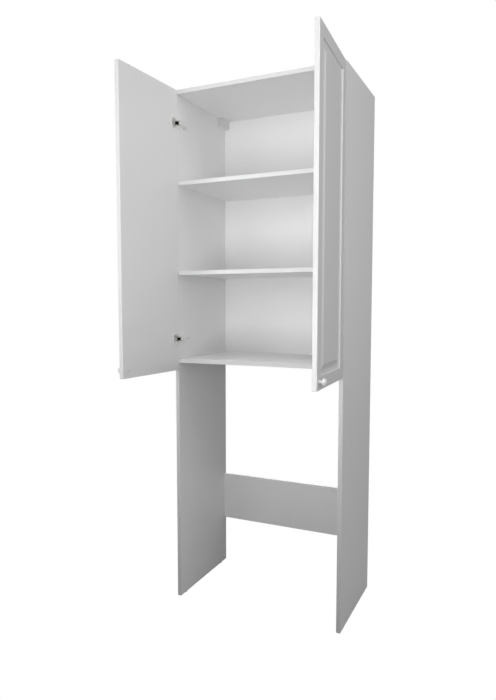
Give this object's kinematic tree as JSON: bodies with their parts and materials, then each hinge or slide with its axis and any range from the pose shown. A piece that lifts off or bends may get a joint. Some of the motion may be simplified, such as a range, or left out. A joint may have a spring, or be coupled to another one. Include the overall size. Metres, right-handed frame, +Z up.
{
  "type": "over-toilet storage rack",
  "caption": "Tall bathroom rack that stands over a toilet: a two-door shelved cabinet carried on full-height side panels with a low rear brace.",
  "frame": {"origin": "on the floor, under the middle of the whole outline with both doors open", "axes": "+Z up, +Y towards the wall behind, +X to the right as seen from the front"},
  "size_m": [0.7608, 0.742, 2],
  "materials": {
    "white_melamine": "satin melamine on particleboard",
    "white_lacquer": "satin lacquer on routed fibreboard",
    "white_fibreboard": "painted thin fibreboard",
    "white_plastic": "moulded plastic",
    "white_knob": "gloss enamel",
    "soft_pad": "soft clear-white pad",
    "nickel_steel": "nickel-plated pressed steel",
    "dark_steel": "dark passivated steel",
    "zinc_plated": "zinc-plated steel",
    "zinc_alloy": "die-cast zinc",
    "beech": "plain beech"
  },
  "bodies": {
    "root": {"left_side_panel": "white_melamine", "right_side_panel": "white_melamine", "top_panel": "white_melamine", "bottom_panel": "white_melamine", "upper_shelf": "white_melamine", "lower_shelf": "white_melamine", "back_panel": "white_fibreboard", "rear_brace": "white_melamine", "shelf_pins": "zinc_plated", "cam_locks": "zinc_alloy", "cam_bolts": "zinc_plated", "dowels": "beech", "back_panel_nails": "zinc_plated", "glides": "white_plastic", "glide_nails": "zinc_plated", "wall_brackets": "zinc_plated", "bracket_covers": "white_plastic", "bracket_screws": "zinc_plated", "hinge_plates": "nickel_steel", "hinge_plate_screws": "zinc_plated", "hinge_arms": "nickel_steel", "hinge_arm_screws": "zinc_plated", "hinge_arm_pins": "zinc_plated"},
    "left_outer_link": {"left_outer_links": "dark_steel"},
    "left_inner_link": {"left_inner_links": "dark_steel"},
    "left_door_leaf": {"left_door": "white_lacquer", "left_hinge_cups": "nickel_steel", "left_cup_pins": "zinc_plated", "left_cup_screws": "zinc_plated", "left_knob": "white_knob", "left_knob_screw": "zinc_plated", "left_door_bumpers": "soft_pad"},
    "right_outer_link": {"right_outer_links": "dark_steel"},
    "right_inner_link": {"right_inner_links": "dark_steel"},
    "right_door_leaf": {"right_door": "white_lacquer", "right_hinge_cups": "nickel_steel", "right_cup_pins": "zinc_plated", "right_cup_screws": "zinc_plated", "right_knob": "white_knob", "right_knob_screw": "zinc_plated", "right_door_bumpers": "soft_pad"}
  },
  "joints": [
    {"name": "left_outer_link_pivot", "type": "hinge", "parent": "root", "child": "left_outer_link", "pos_m": [-0.3198, -0.03171, 1.4785], "axis": [0, 0, 1], "range_deg": [-32.01, 0.59]},
    {"name": "left_door_pivot", "type": "hinge", "parent": "left_outer_link", "child": "left_door_leaf", "pos_m": [-0.32594, -0.04227, 1.4785], "axis": [0, 0, -1], "range_deg": [-125.3, 2.28]},
    {"name": "left_inner_link_pivot", "type": "hinge", "parent": "root", "child": "left_inner_link", "pos_m": [-0.311, -0.03401, 1.4785], "axis": [0, 0, -1], "range_deg": [-7.41, 0.14]},
    {"name": "right_outer_link_pivot", "type": "hinge", "parent": "root", "child": "right_outer_link", "pos_m": [0.3198, -0.03171, 1.4785], "axis": [0, 0, -1], "range_deg": [-32.01, 0.59]},
    {"name": "right_door_pivot", "type": "hinge", "parent": "right_outer_link", "child": "right_door_leaf", "pos_m": [0.32594, -0.04227, 1.4785], "axis": [0, 0, 1], "range_deg": [-125.3, 2.28]},
    {"name": "right_inner_link_pivot", "type": "hinge", "parent": "root", "child": "right_inner_link", "pos_m": [0.311, -0.03401, 1.4785], "axis": [0, 0, 1], "range_deg": [-7.41, 0.14]}
  ],
  "couplings": [
    {"joint": "left_outer_link_pivot", "follows": "left_door_pivot", "ratio": 0.25539},
    {"joint": "left_inner_link_pivot", "follows": "left_door_pivot", "ratio": 0.059058},
    {"joint": "right_outer_link_pivot", "follows": "right_door_pivot", "ratio": 0.25539},
    {"joint": "right_inner_link_pivot", "follows": "right_door_pivot", "ratio": 0.059058}
  ]
}
